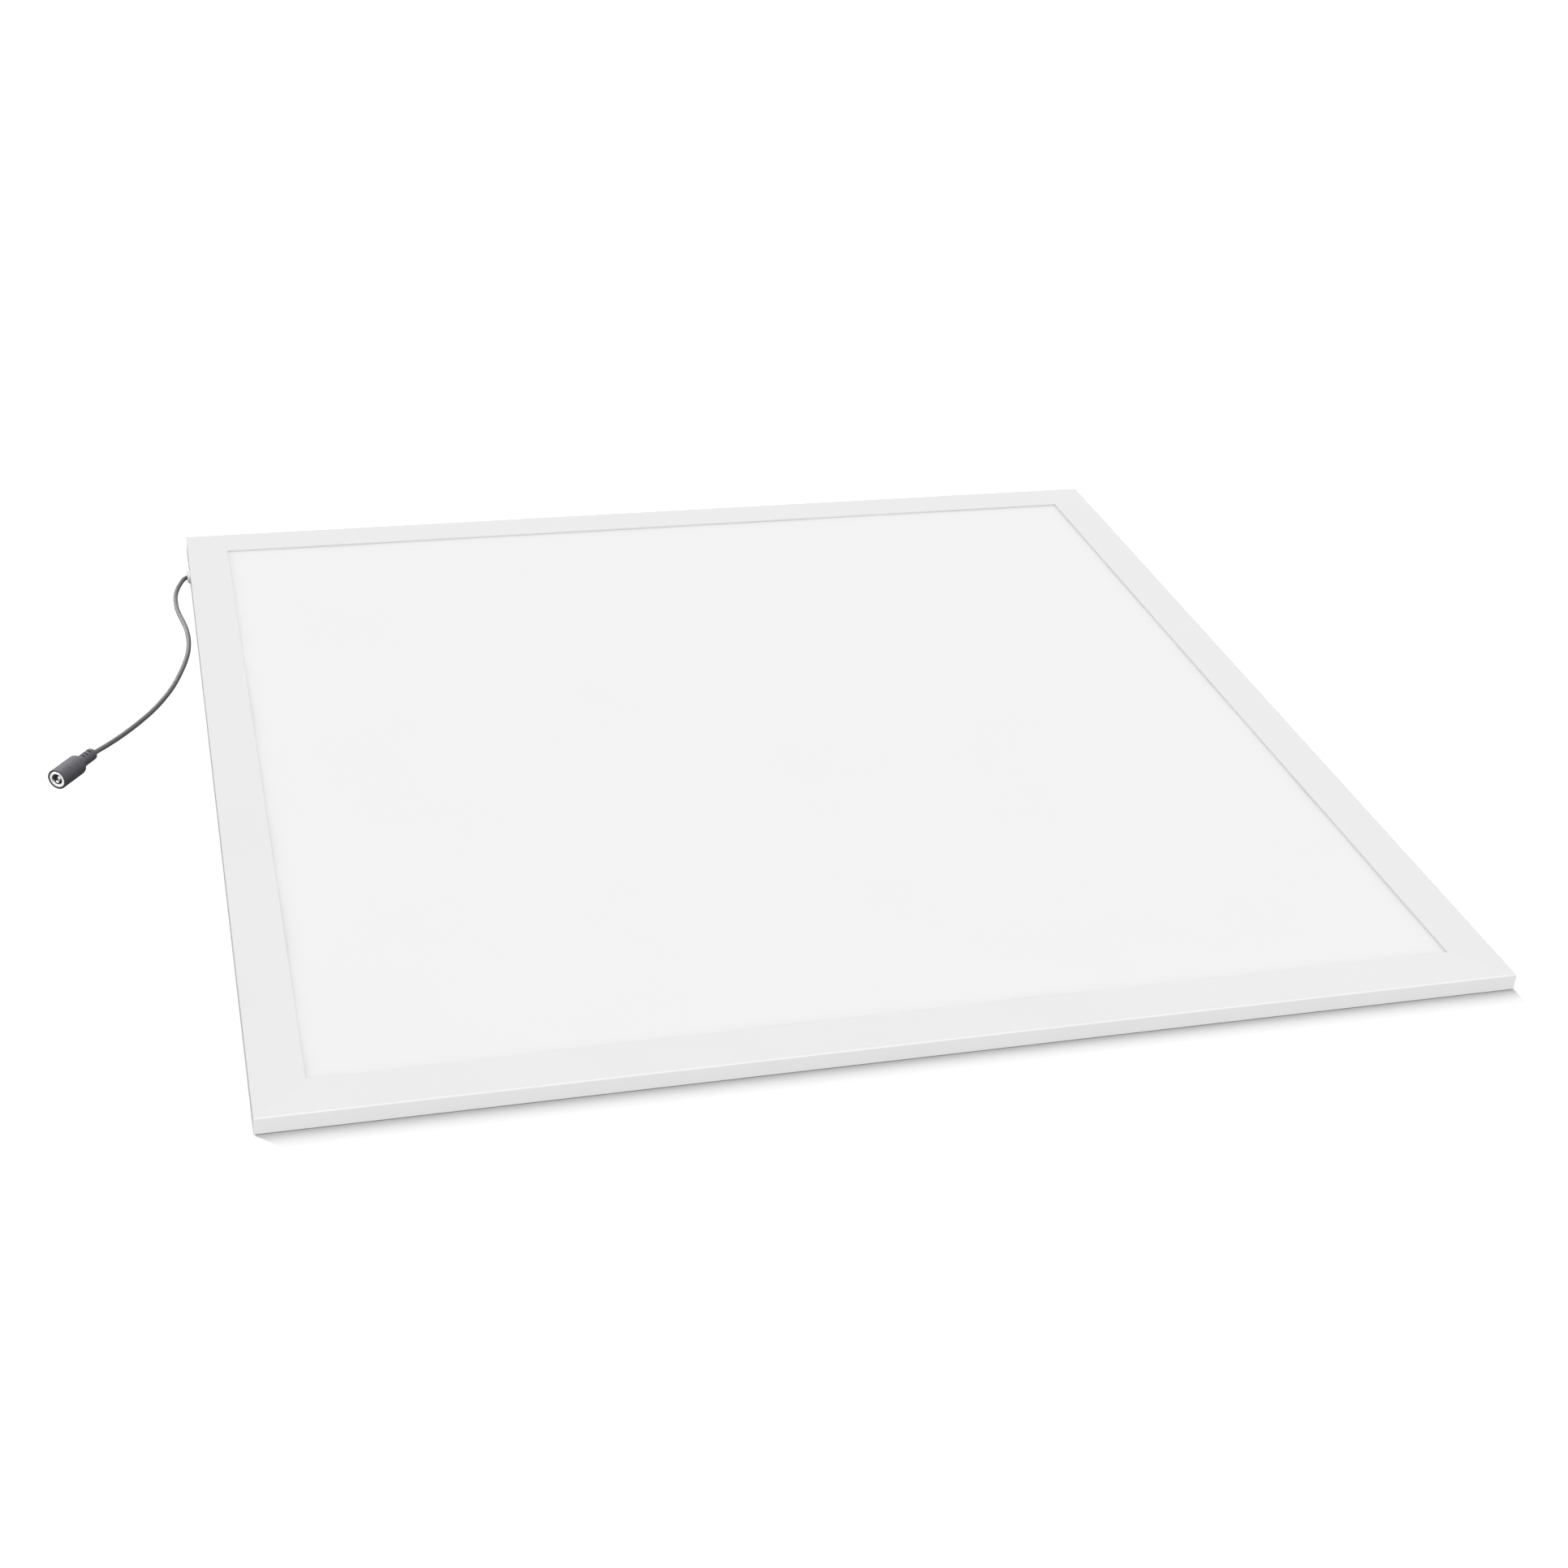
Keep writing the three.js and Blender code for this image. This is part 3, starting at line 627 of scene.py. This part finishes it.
def spring_leaf():
    """Bowed contact strip: a centre line of (radius, y) points given width and thickness."""
    half_width, half_thick = 0.8 * MM, 0.125 * MM
    knots = np.array([[2.8, 9.2], [2.74, 7.6], [2.58, 5.4], [2.38, 3.0], [2.46, 2.2], [2.75, 1.4]]) * MM
    along = np.concatenate([[0], np.cumsum(np.linalg.norm(np.diff(knots, axis=0), axis=1))])
    wanted = np.linspace(0, along[-1], 25)
    line = hermite(along, knots, np.gradient(knots, along, axis=0), wanted)
    slope = np.gradient(line, axis=0)
    normal = np.stack([slope[:, 1], -slope[:, 0]], axis=1)
    normal /= np.linalg.norm(normal, axis=1)[:, None]
    corner = 0.05 * MM
    outline = [
        (-half_width + corner, -half_thick),
        (half_width - corner, -half_thick),
        (half_width, -half_thick + corner),
        (half_width, half_thick - corner),
        (half_width - corner, half_thick),
        (-half_width + corner, half_thick),
        (-half_width, half_thick - corner),
        (-half_width, -half_thick + corner),
    ]
    outwards = np.array([math.cos(SPRING_ANGLE), 0, math.sin(SPRING_ANGLE)])
    sideways = np.array([-math.sin(SPRING_ANGLE), 0, math.cos(SPRING_ANGLE)])
    axis = np.array([0, 1.0, 0])
    points = []
    for (radius, y), (out, back) in zip(line, normal):
        for across, thick in outline:
            points.append(
                outwards * (radius + out * thick) + axis * (y + back * thick) + sideways * across
            )
    piece = mesh_piece("spring_leaf", points, capped_faces(len(line), len(outline)), "nickel")
    piece.data.transform(socket_place())
    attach(piece, "contact")
    return piece


def make_socket():
    body = joint("lead_bend_4")["child"]
    shell = turned_piece("socket_body", shell_profile(), "socket_pvc", body)
    ring = turned_piece("socket_mouth_ring", ring_profile(), "nickel", body)
    insert = turned_piece("socket_insulator", insert_profile(), "black_nylon", body)
    pin = turned_piece("socket_centre_pin", pin_profile(), "nickel", body, 48, closed=False)
    leaf = spring_leaf()
    stands_for = {
        shell: ("socket_shell", "grey_pvc"),
        ring: ("socket_ring", "nickel"),
        insert: ("socket_insert", "black_nylon"),
        pin: ("socket_pin", "nickel"),
        leaf: ("spring_contact", "nickel"),
    }
    for piece, (node, slot) in stands_for.items():
        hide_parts(node)
    return leaf


# ------------------------------------------------------------------ cable outlet

OUTLET_SIDES = 64
# Steps of the lead's path over which its slant through the outlet is taken.
OUTLET_PATH_STEPS = 8
BARB_SIZE = (9.2 * MM, 4.1 * MM)
NECK_SIZE = (6 * MM, 4.2 * MM)
BARB_FRONT = 1.5 * MM
BOOT_TAPER = 2.4 * MM


def rounded_outline(width, height, corner):
    """Points round a superellipse: power 2 is an ellipse and power 5 is nearly a rectangle."""
    unit = circle(1.0, OUTLET_SIDES)
    power = 2 + 3 * (1 - 2 * corner / min(width, height))
    bulge = (np.abs(unit) ** power).sum(axis=1) ** (-1 / power)
    return unit * bulge[:, None] * np.array([width, height]) / 2


def outlet_bore(outwards, radius):
    """Where the slanting lead passes the plane at a distance outside the frame's face."""
    run = LEAD_PATH[0] - LEAD_PATH[OUTLET_PATH_STEPS]
    slope = run[1] / run[0]
    outline = circle(radius, OUTLET_SIDES) * np.array([math.hypot(1, slope), 1])
    return outline - np.array([slope * outwards, 0])


def make_outlet():
    """White snap-in outlet: barbed neck behind the frame's wall and a tapered boot outside it."""
    low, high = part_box("cable_outlet")
    middle = (low + high) / 2
    inner = -(high.x + PANEL_HALF)
    foot = 0.03 * MM
    proud = -PANEL_HALF - low.x - foot
    width, height = high.y - low.y, high.z - low.z
    barb = rounded_outline(*BARB_SIZE, 0.5 * MM)
    neck = rounded_outline(*NECK_SIZE, 0.3 * MM)
    rings = [(inner, barb), (-BARB_FRONT, barb), (-BARB_FRONT, neck), (foot, neck)]
    for share in (0, 0.3, 0.55, 0.75, 0.88, 0.96, 1):
        drawn_in = BOOT_TAPER * (1 - math.sqrt(1 - 0.9 * share**2))
        rings.append(
            (foot + share * proud, rounded_outline(width - drawn_in, height - drawn_in, 0.3 * height))
        )
    bore = LEAD_RADIUS + 0.15 * MM
    top = foot + proud
    rings.append((top, outlet_bore(top, bore + 0.15 * MM)))
    rings.append((top - 0.2 * MM, outlet_bore(top - 0.2 * MM, bore)))
    rings.append((inner, outlet_bore(inner, bore)))
    points = []
    for outwards, outline in rings:
        for along, up in outline:
            points.append((-PANEL_HALF - outwards, middle.y + along, middle.z + up))
    faces = ring_faces(len(rings), OUTLET_SIDES, closed=True)
    piece = mesh_piece("outlet_boot", points, faces, "white_plastic", 40)
    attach(piece, "panel")
    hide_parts("cable_outlet")


# ------------------------------------------------------------------ floor, light and camera


# The white sky lights everything. Each of the other lights is linked to a few pieces: the floor,
# the frame's front bar, the lead, the socket, its bright contacts, or the spring leaf alone. They
# need very different amounts, and one plain light can't give the white and the dark pieces both.

FLOOR_DROP = 0.02 * MM
FLOOR_COLOR = (0.56, 0.56, 0.56)
FLOOR_BOUNCE = (0.08, 0.08, 0.08)
SKY_LEVEL = 0.976
SKY_SLOPES = {"X": 0.05, "Y": 0.0, "Z": 0.1}
BACK_LIGHT = {"power": 560.0, "distance": 6.0, "width": 0.3, "height": 8.2, "elevation": 50.0}
FRONT_FILL = {"strength": 1.31, "from": -18.0, "elevation": 2.0, "spread": 0.5}
LEAD_KEY = {"strength": 3.0, "from": -160.0, "elevation": 32.0, "spread": 80.0}
LEAD_SHEEN = {"strength": 0.9, "from": -147.0, "elevation": 8.0, "spread": 16.0}
SOCKET_KEY = {"strength": 3.5, "from": -150.0, "elevation": 55.0, "spread": 60.0}
CONTACT_FILL = {"strength": 6.0, "from": -75.0, "elevation": -30.0, "spread": 70.0}
LEAF_FILL = {"strength": 1.5, "from": 123.0, "elevation": 71.0, "spread": 60.0}
FLOOR_WASH = {"strength": 6.6, "from": -135.0, "elevation": 20.0, "spread": 2.0}
SUN_DISTANCE = 2.0
FLOOR_HALF_SIDE = 8.0
PANEL_OUTSIDE = ["frame_front", "frame_right", "frame_rear", "frame_left", "back_plate"]


def floor_material():
    """Pale card. The object gets less light back from it than the camera sees, so that the
    camera can see it near white without the object's sides and underside turning white too.
    """
    pale = Finish("pale_floor", FLOOR_COLOR, 0.8)
    pale.tint(pale.ramp(pale.noise(0.4), 0.3, 0.7), shade(FLOOR_COLOR, 1.02))
    dim = pale.node("ShaderNodeBsdfDiffuse")
    dim.inputs["Color"].default_value = (*FLOOR_BOUNCE, 1)
    mix = pale.node("ShaderNodeMixShader")
    pale.link(pale.node("ShaderNodeLightPath").outputs["Is Camera Ray"], mix.inputs[0])
    pale.link(dim.outputs[0], mix.inputs[1])
    pale.link(pale.shader.outputs[0], mix.inputs[2])
    pale.link(mix.outputs[0], pale.tree.nodes["Material Output"].inputs["Surface"])
    return pale.material


def make_floor():
    side = FLOOR_HALF_SIDE
    mesh = bpy.data.meshes.new("floor")
    corners = [(-side, -side), (side, -side), (side, side), (-side, side)]
    mesh.from_pydata([(x, y, -FLOOR_DROP) for x, y in corners], [], [(0, 1, 2, 3)])
    mesh.materials.append(floor_material())
    floor = bpy.data.objects.new("floor", mesh)
    bpy.context.scene.collection.objects.link(floor)
    return floor


def make_sky():
    """Soft white surroundings, brighter overhead and to the right; the camera sees plain white."""
    world = bpy.data.worlds.new("studio")
    bpy.context.scene.world = world
    world.use_nodes = True
    tree = world.node_tree
    tree.nodes.clear()
    place = tree.nodes.new("ShaderNodeTexCoord")
    axes = tree.nodes.new("ShaderNodeSeparateXYZ")
    tree.links.new(place.outputs["Generated"], axes.inputs[0])
    level = None
    for axis, slope in SKY_SLOPES.items():
        term = tree.nodes.new("ShaderNodeMath")
        term.operation = "MULTIPLY_ADD"
        tree.links.new(axes.outputs[axis], term.inputs[0])
        term.inputs[1].default_value = slope
        term.inputs[2].default_value = SKY_LEVEL
        if level is not None:
            tree.links.new(level, term.inputs[2])
        level = term.outputs[0]
    soft = tree.nodes.new("ShaderNodeBackground")
    tree.links.new(level, soft.inputs["Strength"])
    plain = tree.nodes.new("ShaderNodeBackground")
    for background in (soft, plain):
        background.inputs["Color"].default_value = (1, 1, 1, 1)
    path = tree.nodes.new("ShaderNodeLightPath")
    mix = tree.nodes.new("ShaderNodeMixShader")
    tree.links.new(path.outputs["Is Camera Ray"], mix.inputs[0])
    tree.links.new(soft.outputs[0], mix.inputs[1])
    tree.links.new(plain.outputs[0], mix.inputs[2])
    output = tree.nodes.new("ShaderNodeOutputWorld")
    tree.links.new(mix.outputs[0], output.inputs["Surface"])


def pieces_of(*slots):
    """The visible pieces that carry these materials."""
    wanted = {materials[slot] for slot in slots}
    return [o for o in bpy.data.objects if o.type == "MESH" and wanted & set(o.data.materials)]


def collection_of(name, objects):
    made = bpy.data.collections.new(name)
    for piece in objects:
        made.objects.link(piece)
    return made


def add_light(data, from_direction, distance):
    """Links a light that shines from from_direction towards the frame's origin."""
    light = bpy.data.objects.new(data.name, data)
    bpy.context.scene.collection.objects.link(light)
    light.location = from_direction * distance
    light.rotation_mode = "QUATERNION"
    light.rotation_quaternion = (-from_direction).to_track_quat("-Z", "Y")
    return light


def direction_from(azimuth_degrees, elevation_degrees):
    """Unit vector; azimuth 0 is the front and grows towards the right."""
    azimuth, elevation = math.radians(azimuth_degrees), math.radians(elevation_degrees)
    level = math.cos(elevation)
    return Vector((level * math.sin(azimuth), -level * math.cos(azimuth), math.sin(elevation)))


def make_soft_sun(name, settings, receivers, blockers=None):
    """Sun light that reaches only the receivers. Only the blockers, or everything, shade them."""
    data = bpy.data.lights.new(name, "SUN")
    data.energy = settings["strength"]
    data.angle = math.radians(settings["spread"])
    direction = direction_from(settings["from"], settings["elevation"])
    light = add_light(data, direction, SUN_DISTANCE)
    light.light_linking.receiver_collection = collection_of(f"lit_by_{name}", receivers)
    if blockers:
        light.light_linking.blocker_collection = collection_of(f"{name}_casters", blockers)


def make_back_light(floor, panel):
    """Long strip light, high up behind: it lights only the floor, and only the panel shades it."""
    data = bpy.data.lights.new("back_light", "AREA")
    data.shape = "RECTANGLE"
    data.energy = BACK_LIGHT["power"]
    data.size = BACK_LIGHT["width"]
    data.size_y = BACK_LIGHT["height"]
    elevation = math.radians(BACK_LIGHT["elevation"])
    direction = Vector((0, math.cos(elevation), math.sin(elevation)))
    light = add_light(data, direction, BACK_LIGHT["distance"])
    light.visible_camera = False
    light.light_linking.receiver_collection = collection_of("lit_by_back_light", [floor])
    light.light_linking.blocker_collection = collection_of("back_light_casters", panel)


CAMERA_PLACE = Vector((-0.3189, -1.1141, 0.6410))
CAMERA_FORWARD = Vector((0.2478, 0.8302, -0.4994))
CAMERA_ROLL = math.radians(3.64)
CAMERA_LENS = 54.8
CAMERA_SENSOR = 36.0


def make_camera():
    data = bpy.data.cameras.new("camera")
    data.lens = CAMERA_LENS
    data.sensor_width = CAMERA_SENSOR
    data.clip_start = 0.01
    camera = bpy.data.objects.new("camera", data)
    bpy.context.scene.collection.objects.link(camera)
    camera.location = CAMERA_PLACE
    camera.rotation_mode = "QUATERNION"
    aim = CAMERA_FORWARD.to_track_quat("-Z", "Y")
    camera.rotation_quaternion = aim @ Matrix.Rotation(CAMERA_ROLL, 4, "Z").to_quaternion()
    bpy.context.scene.camera = camera


def make_stage(leaf):
    settings = bpy.context.scene.view_settings
    settings.view_transform = "Standard"
    settings.look = "None"
    panel = [frame["nodes"][name] for name in PANEL_OUTSIDE]
    lead = pieces_of("grey_pvc")
    socket = pieces_of("socket_pvc")
    bright = pieces_of("nickel")
    make_sky()
    floor = make_floor()
    make_back_light(floor, panel)
    make_soft_sun("floor_wash", FLOOR_WASH, [floor], panel)
    make_soft_sun("front_fill", FRONT_FILL, [frame["nodes"]["frame_front"]])
    make_soft_sun("lead_key", LEAD_KEY, lead)
    make_soft_sun("lead_sheen", LEAD_SHEEN, lead)
    make_soft_sun("socket_key", SOCKET_KEY, socket)
    make_soft_sun("contact_fill", CONTACT_FILL, bright, bright + socket)
    make_soft_sun("leaf_fill", LEAF_FILL, [leaf], [leaf])
    make_camera()


# ------------------------------------------------------------------ scene

finish_cad_nodes()
make_lead()
leaf = make_socket()
make_outlet()
make_stage(leaf)
